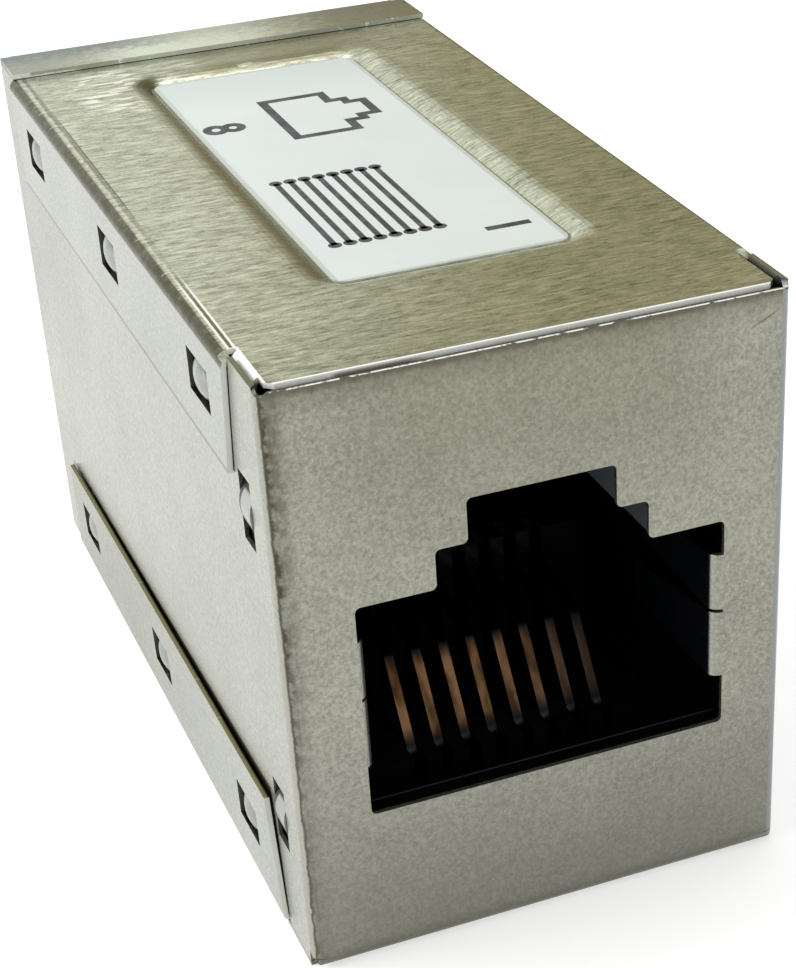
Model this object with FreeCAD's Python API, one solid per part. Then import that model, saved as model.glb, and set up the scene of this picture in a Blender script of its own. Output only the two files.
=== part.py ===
"""Shielded inline coupler for two eight-way modular plugs.

A thin sheet-metal frame is folded round two black jack housings that stand back to back on
a small circuit board.  A top and a bottom cover snap over the frame, and one lip of the
frame is folded over each cover.  X is the width, Y the length with the front port facing
-Y, and Z is up.  The origin is under the middle of the part.  All sizes are millimetres.
"""
import FreeCAD
import Part
import math
import os

# ---- overall sizes ----
length = 35.95           # outside of front face to outside of rear face
width = 18.2             # over the cover flanges
height = 22.05           # over both folded lips
sheet = 0.18             # sheet-metal thickness
seat_gap = 0.02          # air between two sheets that lie on each other
past = 1.0               # how far a cutting shape reaches past what it cuts
bend = 0.26              # inside radius of the folds in the frame
cover_bend = 0.22        # inside radius of the folds in the covers

# ---- port opening, measured up from the foot of the part ----
port_sill = 5.9
port_body_width = 13.0
port_body_height = 7.97
port_step_width = 7.44
port_step_height = 1.41
port_latch_width = 5.17
port_latch_height = 1.57
port_corner = 0.2
port_shift = 0.09        # to the right of the middle

# ---- grounding tabs folded in from both sides of a port ----
tab_clear_width = 12.3   # free width between the tabs at the mouth
tab_depth = 5.55
tab_inward = 0.25        # how far a tab leans into the port at its tip
lower_tab_foot = 7.8
tab_slit_height = 10.33
tab_slit = 0.13
upper_tab_head = 12.57
tab_taper = 0.48

# ---- lips of the frame, relief notches and seam ----
lip_depth = 3.0
face_edge_drop = 0.14    # free edge of an end face below the cover beside it
corner_relief = 0.45
relief_depth = 0.25
foot_corner = 0.7            # rounding of the folded edge at the foot of an end face
seam_width = 0.08
seam_from_corner = 1.0

# ---- covers ----
top_flange_depth = 4.17
bottom_flange_depth = 5.04
bottom_flange_spread = 0.07  # how far the free edges of the bottom flanges stand off
bottom_edge_fall = 0.64      # how much less deep the bottom flanges are at their rear end
flange_start = 2.75      # flange end from the face, at the fold
flange_slant = 0.65      # how much further back the flange starts at its free edge
wide_start = 3.3         # full-width part of the cover starts here
rear_wide_start = 2.85
tongue_half_width = 8.45
tongue_corner = 0.27
cover_end_gap = 0.1
window_length = 2.35
window_height = 1.5
top_window_margin = 1.41     # from the free edge of the flange
bottom_window_margin = 1.67
window_pitch = 11.72
top_window_shift = -0.37
bottom_window_shift = -0.1
bump_length = 2.25
bump_height = 1.4
bump_rise = 0.28

# ---- slots near the front edge of the frame, with the ears that snap into them ----
slot_width = 1.2
slot_height = 2.45
slot_from_face = 2.3
slot_from_middle = 5.83  # above and below mid height
ear_length = 2.1
ear_start = 1.05
ear_below_slot = 0.35
rib_length = 1.65
ear_overlap = 1.5        # how far an ear starts inside the edge of its cover

# ---- pressed panel and label on the top cover ----
panel_length = 23.15
panel_width = 8.65
panel_corner = 0.7
panel_depth = 0.26
panel_shoulder = 0.96
panel_steps = 5          # sections down the soft shoulder
panel_shift_x = 0.25
panel_shift_y = 0.6
label_thickness = 0.05
label_margin = 0.12
label_corner = 0.55

# ---- jack housing ----
housing_gap = 0.06       # to the sheet round it
housing_depth = 14.75
rail_width = 1.7
cavity_clear = 0.1       # cavity past the metal opening
cavity_depth = 13.25
sill_width = 0.72
well_half_width = 5.6
latch_shelf_depth = 2.55
coring_width = 4.9
coring_depth = 2.3
coring_wall = 1.5

# ---- contacts, their carrier and the board ----
contact_count = 8
contact_pitch = 1.02
contact_width = 0.34
contact_thickness = 0.25
contact_bend = 0.4
contact_level = 4.44     # lower run above the foot of the part
contact_nose = 3.45      # corner of the front bend behind the face
spring_rise = 3.66
spring_run = 2.5
tip_rise = 0.75
tip_run = 4.2
carrier_base = 2.75
carrier_nose = 3.0
carrier_ridge = 5.45     # the springs come out of the insert at this height
ridge_depth = 1.95
groove_clear = 0.06
board_thickness = 1.6
board_edge_gap = 0.5
board_hole = 0.75
board_hole_flats = 6
tail_in_board = 1.3
comb_bar = 0.9
comb_gap = 0.08

# ---- worked out from the sizes above ----
half_length = length / 2
middle = height / 2
cover_top = height - sheet - seat_gap
cover_foot = sheet + seat_gap
frame_half = width / 2 - sheet - seat_gap
frame_inner = frame_half - sheet
fold = bend + sheet
wall_top = cover_top - sheet - cover_bend     # the long walls stop below the cover folds
wall_foot = height - wall_top
flat_half = frame_half - fold                 # flat part of an end face
board_front = half_length - board_thickness / 2
housing_half = frame_inner - sheet - seat_gap - housing_gap
housing_top = cover_top - sheet - panel_depth - housing_gap


def vec(x, y, z):
    return FreeCAD.Vector(x, y, z)


def from_face(distance):
    """Y of a plane that lies this far behind the outside of the front face."""
    return distance - half_length


def box(x0, x1, y0, y1, z0, z1):
    return Part.makeBox(x1 - x0, y1 - y0, z1 - z0, vec(x0, y0, z0))


def turned(shape):
    """The same shape half a turn round the X axis through the middle of the part."""
    copy = shape.copy()
    copy.rotate(vec(0, 0, middle), vec(1, 0, 0), 180)
    return copy


def mirrored(shape):
    """The same shape on the other side of the YZ plane."""
    return shape.mirror(vec(0, 0, 0), vec(1, 0, 0))


def both_sides(shape):
    return [shape, mirrored(shape)]


# ---- two-dimensional outlines ----
def on_xy(a, b):
    return vec(a, b, 0)


def on_xz(a, b):
    return vec(a, 0, b)


def on_yz(a, b):
    return vec(0, a, b)


def unit(a, b):
    size = math.hypot(a, b)
    return a / size, b / size


def corner_arc(before, corner, after, radius, side):
    """Start, middle and end of a rounded corner, moved sideways (left is positive)."""
    u = unit(corner[0] - before[0], corner[1] - before[1])
    v = unit(after[0] - corner[0], after[1] - corner[1])
    turn = math.atan2(u[0] * v[1] - u[1] * v[0], u[0] * v[0] + u[1] * v[1])
    sign = 1 if turn > 0 else -1
    cut = radius * math.tan(abs(turn) / 2)
    start = (corner[0] - u[0] * cut, corner[1] - u[1] * cut)
    end = (corner[0] + v[0] * cut, corner[1] + v[1] * cut)
    centre = (start[0] - u[1] * sign * radius, start[1] + u[0] * sign * radius)
    out = unit(corner[0] - centre[0], corner[1] - centre[1])
    reach = radius - sign * side
    return [
        (start[0] - u[1] * side, start[1] + u[0] * side),
        (centre[0] + out[0] * reach, centre[1] + out[1] * reach),
        (end[0] - v[1] * side, end[1] + v[0] * side),
    ]


def line(place, a, b):
    return Part.LineSegment(place(*a), place(*b)).toShape()


def arc(place, points):
    return Part.Arc(*[place(*p) for p in points]).toShape()


def side_edges(path, radius, side, place):
    """Edges of one side of a folded strip, with the first and last point."""
    u = unit(path[1][0] - path[0][0], path[1][1] - path[0][1])
    first = (path[0][0] - u[1] * side, path[0][1] + u[0] * side)
    edges, at = [], first
    for before, corner, after in zip(path, path[1:], path[2:]):
        bow = corner_arc(before, corner, after, radius, side)
        edges += [line(place, at, bow[0]), arc(place, bow)]
        at = bow[2]
    v = unit(path[-1][0] - path[-2][0], path[-1][1] - path[-2][1])
    last = (path[-1][0] - v[1] * side, path[-1][1] + v[0] * side)
    edges.append(line(place, at, last))
    return edges, first, last


def strip(path, thickness, inside, place, along):
    """A folded strip: its middle line in one plane, extruded by the vector along."""
    radius = inside + thickness / 2
    left, left_first, left_last = side_edges(path, radius, thickness / 2, place)
    right, right_first, right_last = side_edges(path, radius, -thickness / 2, place)
    ends = [line(place, left_last, right_last), line(place, right_first, left_first)]
    wire = Part.Wire(Part.__sortEdges__(left + right + ends))
    return Part.Face(wire).extrude(along)


def rounded_outline(points, radius, place):
    """Closed wire through the points with every corner rounded."""
    edges, count = [], len(points)
    bows = []
    for n in range(count):
        bows.append(corner_arc(points[n - 1], points[n], points[(n + 1) % count], radius, 0))
    for n in range(count):
        edges += [arc(place, bows[n]), line(place, bows[n][2], bows[(n + 1) % count][0])]
    return Part.Wire(Part.__sortEdges__(edges))


def rectangle(x0, x1, y0, y1):
    return [(x0, y0), (x1, y0), (x1, y1), (x0, y1)]


def port_points(grow, sill, shift):
    """Stepped outline of a port, latch side up, grown sideways and up."""
    levels = [
        (port_body_width / 2 + grow, port_sill + port_body_height + grow),
        (port_step_width / 2 + grow, port_sill + port_body_height + port_step_height + grow),
        (port_latch_width / 2 + grow,
         port_sill + port_body_height + port_step_height + port_latch_height + grow),
    ]
    right = [(levels[0][0], sill)]
    for number, (half, top) in enumerate(levels):
        right.append((half, top))
        if number + 1 < len(levels):
            right.append((levels[number + 1][0], top))
    left = [(-x, z) for x, z in reversed(right)]
    return [(x + shift, z) for x, z in right + left]


def prism_along_y(wire, y0, y1):
    prism = Part.Face(wire).extrude(vec(0, y1 - y0, 0))
    prism.translate(vec(0, y0, 0))
    return prism


def sheet_opening():
    """Port opening cut through an end face of the frame."""
    wire = rounded_outline(port_points(0, port_sill, port_shift), port_corner, on_xz)
    return prism_along_y(wire, from_face(-past), from_face(sheet + bend))


def plug_cavity(y0, y1):
    """Cavity of a jack housing, with the sharp corners of the mould's core."""
    points = [on_xz(x, z) for x, z in port_points(cavity_clear, port_sill - cavity_clear, port_shift)]
    return prism_along_y(Part.makePolygon(points + points[:1]), y0, y1)


# ---- frame ----
def frame_plan():
    sides = rectangle(-frame_half, frame_half, -half_length, half_length)
    return Part.Face(rounded_outline(sides, fold, on_xy))


def frame_ring():
    inner = rounded_outline(
        rectangle(-frame_inner, frame_inner, -half_length + sheet, half_length - sheet), bend, on_xy)
    ring = frame_plan().extrude(vec(0, 0, cover_top - cover_foot))
    ring = ring.cut(Part.Face(inner).extrude(vec(0, 0, cover_top - cover_foot)))
    ring.translate(vec(0, 0, cover_foot))
    # the long walls stop under the covers
    y0, y1 = from_face(flange_start - seat_gap), half_length - rear_wide_start + seat_gap
    low = box(-width, width, y0, y1, 0, wall_foot)
    high = box(-width, width, y0, y1, wall_top, height)
    return ring.cut(low).cut(high)


def lip():
    """Foot of the front face, folded back under the bottom cover over the full width."""
    path = [(sheet / 2, port_sill / 2), (sheet / 2, sheet / 2), (lip_depth, sheet / 2)]
    folded = strip(path, sheet, bend, on_yz, vec(2 * frame_half, 0, 0))
    folded.translate(vec(-frame_half, from_face(0), 0))
    beside = box(flat_half, width, from_face(-past), from_face(sheet + seat_gap), fold, port_sill)
    return folded.cut(both_sides(beside)).common(frame_plan().extrude(vec(0, 0, port_sill)))


def lip_room():
    """What the frame loses at the foot of the front face before the lip is added."""
    return box(-width, width, from_face(-past), from_face(fold + seat_gap), 0, fold + seat_gap)


def foot_corner_cut():
    """Waste that rounds the foot of a front corner, seen from the end."""
    middle_x = frame_half - foot_corner
    corner = box(middle_x, width, from_face(-past), from_face(fold), -past, foot_corner)
    start = vec(middle_x, from_face(-past), foot_corner)
    pin = Part.makeCylinder(foot_corner, 2 * past, start, vec(0, 1, 0))
    return corner.cut(pin)


def end_face_cuts():
    free_edge = cover_top - face_edge_drop
    edge = box(-width, width, from_face(-past), from_face(sheet + seat_gap), free_edge, height)
    return edge.fuse(sheet_opening())


def corner_notch():
    """Round relief at the top of a front corner fold, open upward."""
    middle_x, middle_y = frame_half - fold / 2, from_face(fold / 2)
    radius = corner_relief / 2
    level = cover_top - relief_depth + radius
    across = vec(1, -1, 0)
    start = vec(middle_x - past, middle_y + past, level)
    drill = Part.makeCylinder(radius, 2 * past * math.sqrt(2), start, across)
    above = Part.makeBox(4 * radius, 2 * radius, height, vec(-2 * radius, -radius, 0))
    above.rotate(vec(0, 0, 0), vec(0, 0, 1), -45)
    above.translate(vec(middle_x, middle_y, level))
    return drill.fuse(above)


def grounding_tab(foot, head, slit_at_head):
    """One springy tab folded in from the right edge of a port."""
    outside = tab_clear_width / 2 + sheet / 2
    path = [(frame_half - fold, sheet / 2), (outside, sheet / 2),
            (outside - tab_inward, tab_depth)]
    tab = strip(path, sheet, bend, on_xy, vec(0, 0, head - foot))
    tab.translate(vec(0, from_face(0), foot))
    low = foot + (0 if slit_at_head else tab_taper / 4)
    high = head - (tab_taper / 4 if slit_at_head else 0)
    near = from_face(fold)
    far = from_face(tab_depth)
    shape = [(near - past, foot), (near, foot), (far, low + tab_taper), (far + past, low + tab_taper),
             (far + past, high - tab_taper), (far, high - tab_taper), (near, head), (near - past, head)]
    edges = [line(on_yz, shape[n - 1], shape[n]) for n in range(len(shape))]
    trim = Part.Face(Part.Wire(edges)).extrude(vec(width / 2, 0, 0))
    return tab.common(trim)


def grounding_tabs():
    lower = grounding_tab(lower_tab_foot, tab_slit_height, True)
    upper = grounding_tab(tab_slit_height + tab_slit, upper_tab_head, False)
    return both_sides(lower) + both_sides(upper)


def bow_radius(chord):
    """Radius of an arc that rises as far as a bump over this chord."""
    return (chord ** 2 / 4 + bump_rise ** 2) / (2 * bump_rise)


def snap_bump(y, z):
    """Lens-shaped bump pressed out of the right wall inside a flange window: the outside of a sunk ring."""
    across, along = bow_radius(bump_height), bow_radius(bump_length)
    centre = vec(frame_half + bump_rise - along, y, z)
    ring = Part.makeTorus(along - across, across, centre, vec(0, 0, 1))
    wall_side = box(frame_half - sheet / 2, width, y - bump_length, y + bump_length,
                    z - bump_height, z + bump_height)
    return ring.common(wall_side)


def window_places():
    """Centre of each flange window as (y, z)."""
    top = cover_top - top_flange_depth + top_window_margin + window_height / 2
    foot = cover_foot + bottom_flange_depth - bottom_window_margin - window_height / 2
    places = []
    for n in (-1, 0, 1):
        places.append((n * window_pitch + top_window_shift, top))
        places.append((n * window_pitch + bottom_window_shift, foot))
    return places


def slot_places():
    y = from_face(slot_from_face)
    return [(y, middle + slot_from_middle), (y, middle - slot_from_middle)]


def shell_frame():
    frame = frame_ring().cut(lip_room()).cut(turned(lip_room()))
    frame = frame.cut(end_face_cuts()).cut(turned(end_face_cuts()))
    for notch in both_sides(corner_notch()):
        frame = frame.cut(notch)
    added = [lip(), turned(lip())]
    for tab in grounding_tabs():
        added += [tab, turned(tab)]
    for y, z in window_places():
        added += both_sides(snap_bump(y, z))
    frame = frame.fuse(added)
    for corner in both_sides(foot_corner_cut()):
        frame = frame.cut(corner).cut(turned(corner))
    for y, z in slot_places():
        frame = frame.cut(box(-width, width, y - slot_width / 2, y + slot_width / 2,
                              z - slot_height / 2, z + slot_height / 2))
    seam_y = half_length - seam_from_corner
    seam = box(frame_inner - seat_gap, width, seam_y - seam_width, seam_y, 0, height)
    return frame.cut(seam).removeSplitter()


# ---- covers ----
def side_wedge(points):
    """Flat shape drawn from the side as (y, z) points, carried through the full width."""
    edges = [line(on_yz, points[n - 1], points[n]) for n in range(len(points))]
    wedge = Part.Face(Part.Wire(edges)).extrude(vec(2 * width, 0, 0))
    wedge.translate(vec(-width, 0, 0))
    return wedge


def slanted_end(depth, end, outward):
    """Waste that slants one end of both flanges: they get shorter towards their free edge."""
    tip = cover_top - depth
    corner, beyond = end - outward * flange_slant, end + outward * past
    return side_wedge([(end, cover_top), (corner, tip), (corner, tip - past), (beyond, tip - past),
                       (beyond, cover_top)])


def ear(tip):
    """Leg of the cover that reaches down inside the frame and snaps into the front slot."""
    outside = frame_inner - seat_gap - sheet / 2
    level = cover_top - sheet / 2
    path = [(tongue_half_width - ear_overlap, level), (outside, level), (outside, tip)]
    leg = strip(path, sheet, bend, on_xz, vec(0, ear_length, 0))
    leg.translate(vec(0, from_face(ear_start), 0))
    return leg


def ear_bump(z):
    """Bowed rib on an ear, seen through the slot in the frame."""
    y = from_face(slot_from_face)
    surface = frame_inner - seat_gap
    half_width = slot_width / 2 - 2 * seat_gap
    room = box(surface - sheet / 2, width, y - half_width, y + half_width,
               z - slot_height / 2, z + slot_height / 2)
    radius = bow_radius(rib_length)
    start = vec(surface + bump_rise - radius, y - half_width, z)
    return Part.makeCylinder(radius, 2 * half_width, start, vec(0, 1, 0)).common(room)


def cover(flange_depth, edge_fall, spread, window_margin, window_shift, lip_in_front):
    """A cover in the place of the top one, before the label panel is pressed."""
    free_end = sheet + cover_end_gap
    lip_end = free_end + bend
    level = cover_top - sheet / 2
    side = width / 2 - sheet / 2
    foot = cover_top - flange_depth
    path = [(-side - spread, foot), (-side, level), (side, level), (side + spread, foot)]
    front, rear = from_face(flange_start), half_length - rear_wide_start
    shape = strip(path, sheet, cover_bend, on_xz, vec(0, rear - front, 0))
    shape.translate(vec(0, front, 0))
    shape = shape.cut(slanted_end(flange_depth, front, -1)).cut(slanted_end(flange_depth, rear, 1))
    if edge_fall:
        fallen = foot + edge_fall
        shape = shape.cut(side_wedge([(front, foot), (rear, fallen), (rear + past, fallen),
                                      (rear + past, foot - past), (front, foot - past)]))
    step = box(-width, width, front - past, from_face(wide_start), cover_top - sheet, height)
    shape = shape.cut(step)
    flat_front = from_face(lip_end if lip_in_front else free_end)
    flat_rear = half_length - (free_end if lip_in_front else lip_end)
    tongue = box(-tongue_half_width, tongue_half_width, flat_front, flat_rear,
                 cover_top - sheet, cover_top)
    upright = [edge for edge in tongue.Edges
               if abs(edge.Vertexes[0].Z - edge.Vertexes[-1].Z) > sheet / 2]
    tongue = tongue.makeChamfer(tongue_corner, upright)
    slot_level = middle + slot_from_middle
    tip = slot_level - slot_height / 2 - ear_below_slot
    added = [tongue] + both_sides(ear(tip)) + both_sides(ear_bump(slot_level))
    shape = shape.fuse(added)
    z0 = cover_top - flange_depth + window_margin
    for n in (-1, 0, 1):
        y = n * window_pitch + window_shift
        shape = shape.cut(box(-width, width, y - window_length / 2, y + window_length / 2,
                              z0, z0 + window_height).cut(
                                  box(-frame_half, frame_half, -length, length, 0, height)))
    return shape.removeSplitter()


def panel_section(shrink, level):
    half_x, half_y = panel_width / 2 - shrink, panel_length / 2 - shrink
    wire = rounded_outline(
        rectangle(panel_shift_x - half_x, panel_shift_x + half_x,
                  panel_shift_y - half_y, panel_shift_y + half_y), panel_corner - shrink, on_xy)
    wire.translate(vec(0, 0, level))
    return wire


def pressed_panel(top):
    """Shallow dish whose shoulders get steeper inwards, from the level top down by the panel's depth."""
    sections = [panel_section(-panel_shoulder, top + panel_depth)]
    for n in range(panel_steps + 1):
        share = n / panel_steps
        drop = panel_depth * share ** 2
        sections.append(panel_section(-panel_shoulder * (1 - share), top - drop))
    return Part.makeLoft(sections, True, True)


def top_cover():
    plain = cover(top_flange_depth, 0, 0, top_window_margin, top_window_shift, False)
    backed = plain.fuse(pressed_panel(cover_top - sheet).common(
        box(-width, width, -length, length, 0, cover_top - sheet / 2)))
    return backed.cut(pressed_panel(cover_top)).removeSplitter()


def bottom_cover():
    """Same sheet work as the top cover, upside down, with its ears at the same end."""
    plain = cover(bottom_flange_depth, bottom_edge_fall, bottom_flange_spread, bottom_window_margin,
                  bottom_window_shift, True)
    return plain.mirror(vec(0, 0, middle), vec(0, 0, 1))


def label():
    half_x, half_y = panel_width / 2 - label_margin, panel_length / 2 - label_margin
    wire = rounded_outline(
        rectangle(panel_shift_x - half_x, panel_shift_x + half_x,
                  panel_shift_y - half_y, panel_shift_y + half_y), label_corner, on_xy)
    film = Part.Face(wire).extrude(vec(0, 0, label_thickness))
    film.translate(vec(0, 0, cover_top - panel_depth))
    return film


# ---- inside ----
def contact_x(number):
    return (number - (contact_count - 1) / 2) * contact_pitch


def spring_path():
    """Middle line of a front contact as (y, z): tail, nose, spring and tip."""
    nose = from_face(contact_nose)
    return [
        (from_face(board_front + tail_in_board), contact_level),
        (nose, contact_level),
        (nose + spring_run, contact_level + spring_rise),
        (nose + spring_run + tip_run, contact_level + spring_rise + tip_rise),
    ]


def contact(number):
    wire = strip(spring_path(), contact_thickness, contact_bend, on_yz, vec(contact_width, 0, 0))
    wire.translate(vec(contact_x(number) - contact_width / 2, 0, 0))
    return wire


def contact_room(number, clear, y0, y1, z0, z1):
    half = contact_width / 2 + clear
    return box(contact_x(number) - half, contact_x(number) + half, y0, y1, z0, z1)


def contact_carrier():
    """Insert under the plug: a plate, a ridge at its nose and one open groove for each contact."""
    half, nose = well_half_width - groove_clear, from_face(carrier_nose)
    floor = contact_level - contact_thickness / 2
    top = contact_level + contact_thickness / 2 + groove_clear
    block = box(-half, half, nose, from_face(board_front), carrier_base, top)
    ridge = box(-half, half, nose, from_face(carrier_nose + ridge_depth), carrier_base, carrier_ridge)
    block = block.fuse(ridge).removeSplitter()
    for number in range(contact_count):
        block = block.cut(contact_room(number, groove_clear, -length, length, floor, height))
    return block


def comb():
    """Slotted bar at the back of the cavity that keeps the contact tips apart."""
    tip_y = spring_path()[3][0]
    tip_z = spring_path()[3][1]
    bar = box(-well_half_width, well_half_width, tip_y - comb_bar,
              from_face(sheet + housing_gap + cavity_depth), carrier_base, tip_z + comb_bar)
    for number in range(contact_count):
        bar = bar.cut(contact_room(number, comb_gap, -length, tip_y + comb_gap, carrier_base, height))
    behind = tip_y - comb_bar
    tunnel = box(-well_half_width, well_half_width, behind - past, length,
                 carrier_base - past, contact_level + contact_thickness)
    return bar.cut(tunnel)


def housing_coring():
    """Two blind pockets in the closed top of the housing."""
    y0 = from_face(sheet + housing_gap + coring_wall)
    y1 = from_face(housing_depth - coring_wall)
    pocket = box(coring_wall / 2, coring_wall / 2 + coring_width, y0, y1,
                 housing_top - coring_depth, height)
    return both_sides(pocket)


def jack_housing():
    near, back = from_face(sheet + housing_gap), from_face(housing_depth)
    foot = height - housing_top
    block = box(-housing_half, housing_half, near, back, foot, housing_top)
    rail = box(housing_half - rail_width, housing_half, back, from_face(board_front), foot, housing_top)
    block = block.fuse(both_sides(rail))
    block = block.cut(plug_cavity(near - past, near + cavity_depth))
    latch_top = port_sill + port_body_height + port_step_height + port_latch_height + cavity_clear
    shelf = box(-port_step_width / 2, port_step_width / 2, near + latch_shelf_depth, near + cavity_depth,
                port_sill, latch_top)
    block = block.cut(shelf)
    well = box(-well_half_width, well_half_width, near + sill_width, near + cavity_depth,
               carrier_base - groove_clear, port_sill)
    tunnel = box(-well_half_width, well_half_width, near + sill_width, back + past,
                 carrier_base - groove_clear, contact_level + contact_thickness / 2 + 2 * groove_clear)
    block = block.cut(well).cut(tunnel)
    for pocket in housing_coring():
        block = block.cut(pocket)
    return block.fuse(comb()).removeSplitter()


def pin_hole(x, level):
    """Hole through the board for the tail of a contact, drawn with flats."""
    corners = []
    for n in range(board_hole_flats + 1):
        angle = 2 * math.pi * (n + 0.5) / board_hole_flats
        corners.append(on_xz(x + board_hole / 2 * math.cos(angle), level + board_hole / 2 * math.sin(angle)))
    hole = Part.Face(Part.makePolygon(corners)).extrude(vec(0, board_thickness + 2 * past, 0))
    hole.translate(vec(0, from_face(board_front) - past, 0))
    return hole


def circuit_board():
    half = housing_half - board_edge_gap
    foot = height - housing_top + board_edge_gap
    board = box(-half, half, from_face(board_front), -from_face(board_front), foot, height - foot)
    for number in range(contact_count):
        for level in (contact_level, height - contact_level):
            board = board.cut(pin_hole(contact_x(number), level))
    return board


def nodes():
    pieces = {
        "shell_frame": shell_frame(),
        "top_cover": top_cover(),
        "bottom_cover": bottom_cover(),
        "label": label(),
        "circuit_board": circuit_board(),
    }
    for name, make in (("jack_housing", jack_housing), ("contact_carrier", contact_carrier)):
        shape = make()
        pieces["front_" + name] = shape
        pieces["rear_" + name] = turned(shape)
    for number in range(contact_count):
        wire = contact(number)
        pieces["front_contact_%d" % (number + 1)] = wire
        pieces["rear_contact_%d" % (number + 1)] = turned(wire)
    return pieces


def main():
    os.makedirs("parts", exist_ok=True)
    for name, shape in nodes().items():
        solids = shape.Solids
        solid = solids[0] if len(solids) == 1 else shape
        print(name, "solids", len(solids), "valid", shape.isValid(), "volume", round(shape.Volume, 3))
        solid.exportStep("parts/%s.step" % name)


main()
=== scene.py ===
import bpy
import bmesh
import math
from mathutils import Matrix, Vector


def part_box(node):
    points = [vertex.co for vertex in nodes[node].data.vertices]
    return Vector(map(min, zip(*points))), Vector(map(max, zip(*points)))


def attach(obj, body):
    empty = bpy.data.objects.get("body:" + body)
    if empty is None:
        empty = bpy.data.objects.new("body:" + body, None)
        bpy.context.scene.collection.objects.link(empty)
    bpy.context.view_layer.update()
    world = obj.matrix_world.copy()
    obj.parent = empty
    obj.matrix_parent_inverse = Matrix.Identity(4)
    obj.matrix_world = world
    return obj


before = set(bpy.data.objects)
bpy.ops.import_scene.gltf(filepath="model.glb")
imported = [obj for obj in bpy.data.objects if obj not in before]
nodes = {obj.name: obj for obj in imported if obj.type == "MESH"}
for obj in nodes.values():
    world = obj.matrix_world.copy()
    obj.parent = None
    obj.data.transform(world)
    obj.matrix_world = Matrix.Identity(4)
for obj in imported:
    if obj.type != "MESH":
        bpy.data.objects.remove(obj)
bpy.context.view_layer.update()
MM = 0.001
FRAME_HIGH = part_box("shell_frame")[1]
COVER_LOW, COVER_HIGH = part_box("top_cover")
LABEL_LOW, LABEL_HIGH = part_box("label")
PRINT_DEPTH = 0.02 * MM           # thickness of the print, most of it sunk in the film
PRINT_RISE = 0.005 * MM           # how far the print stands above the film


# ---- node helpers ----
def finish(name):
    """A new material with its node tree and its Principled shader."""
    material = bpy.data.materials.new(name)
    material.use_nodes = True
    tree = material.node_tree
    return material, tree, tree.nodes["Principled BSDF"]


def emptied_tree(owner):
    """The node tree of a material or a world, with nothing in it."""
    owner.use_nodes = True
    owner.node_tree.nodes.clear()
    return owner.node_tree


def put(tree, kind, **settings):
    node = tree.nodes.new(kind)
    for key, value in settings.items():
        setattr(node, key, value)
    return node


def join(tree, start, end):
    tree.links.new(start, end)


def feed(tree, socket, value):
    """Sets a number or a colour on a socket, or links an output to it."""
    if isinstance(value, (int, float)):
        socket.default_value = value
    elif isinstance(value, tuple):
        socket.default_value = (*value, 1.0)
    else:
        join(tree, value, socket)


def maths(tree, operation, *values):
    node = put(tree, "ShaderNodeMath", operation=operation)
    for socket, value in zip(node.inputs, values):
        feed(tree, socket, value)
    return node.outputs[0]


def span(tree, value, low, high, to_low=0.0, to_high=1.0, smooth=True):
    """A value carried from one range of numbers to another, and held at its ends."""
    node = put(tree, "ShaderNodeMapRange", clamp=True)
    node.interpolation_type = "SMOOTHSTEP" if smooth else "LINEAR"
    join(tree, value, node.inputs["Value"])
    for socket, number in zip(("From Min", "From Max", "To Min", "To Max"), (low, high, to_low, to_high)):
        node.inputs[socket].default_value = number
    return node.outputs["Result"]


def blend_colour(tree, share, first, second):
    node = put(tree, "ShaderNodeMix", data_type="RGBA")
    factor, colour_a, colour_b = node.inputs[0], node.inputs[6], node.inputs[7]
    for socket, value in ((factor, share), (colour_a, first), (colour_b, second)):
        feed(tree, socket, value)
    return node.outputs[2]


def noise(tree, fineness, detail=2.0, rough=0.5, distortion=0.0, shift=(0, 0, 0), turn=0.0):
    """Noise in the part's own axes; its fineness is one number, or one for each axis."""
    place = put(tree, "ShaderNodeTexCoord")
    mapping = put(tree, "ShaderNodeMapping")
    join(tree, place.outputs["Object"], mapping.inputs["Vector"])
    even = isinstance(fineness, (int, float))
    mapping.inputs["Scale"].default_value = (fineness,) * 3 if even else fineness
    mapping.inputs["Location"].default_value = shift
    mapping.inputs["Rotation"].default_value = (0, 0, turn)
    node = put(tree, "ShaderNodeTexNoise")
    join(tree, mapping.outputs["Vector"], node.inputs["Vector"])
    node.inputs["Scale"].default_value = 1.0
    node.inputs["Detail"].default_value = detail
    node.inputs["Roughness"].default_value = rough
    node.inputs["Distortion"].default_value = distortion
    return node.outputs["Fac"]


def axis_parts(tree, output):
    """Separate X, Y and Z of the place or the normal in the part's own axes."""
    source = put(tree, "ShaderNodeTexCoord")
    parts = put(tree, "ShaderNodeSeparateXYZ")
    join(tree, source.outputs[output], parts.inputs["Vector"])
    return parts.outputs["X"], parts.outputs["Y"], parts.outputs["Z"]


def size_of(tree, value):
    return maths(tree, "ABSOLUTE", value)


def times(tree, *masks):
    """Where all the masks are."""
    total = masks[0]
    for mask in masks[1:]:
        total = maths(tree, "MULTIPLY", total, mask)
    return total


def either(tree, *masks):
    """Where any of the masks is."""
    total = masks[0]
    for mask in masks[1:]:
        total = maths(tree, "MAXIMUM", total, mask)
    return total


def inverse(tree, mask):
    return maths(tree, "SUBTRACT", 1.0, mask)


def band(tree, value, low, high, soft):
    """One between two sizes and nought outside, with soft ends."""
    rise = span(tree, value, low - soft, low + soft)
    fall = span(tree, value, high + soft, high - soft)
    return times(tree, rise, fall)


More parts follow.
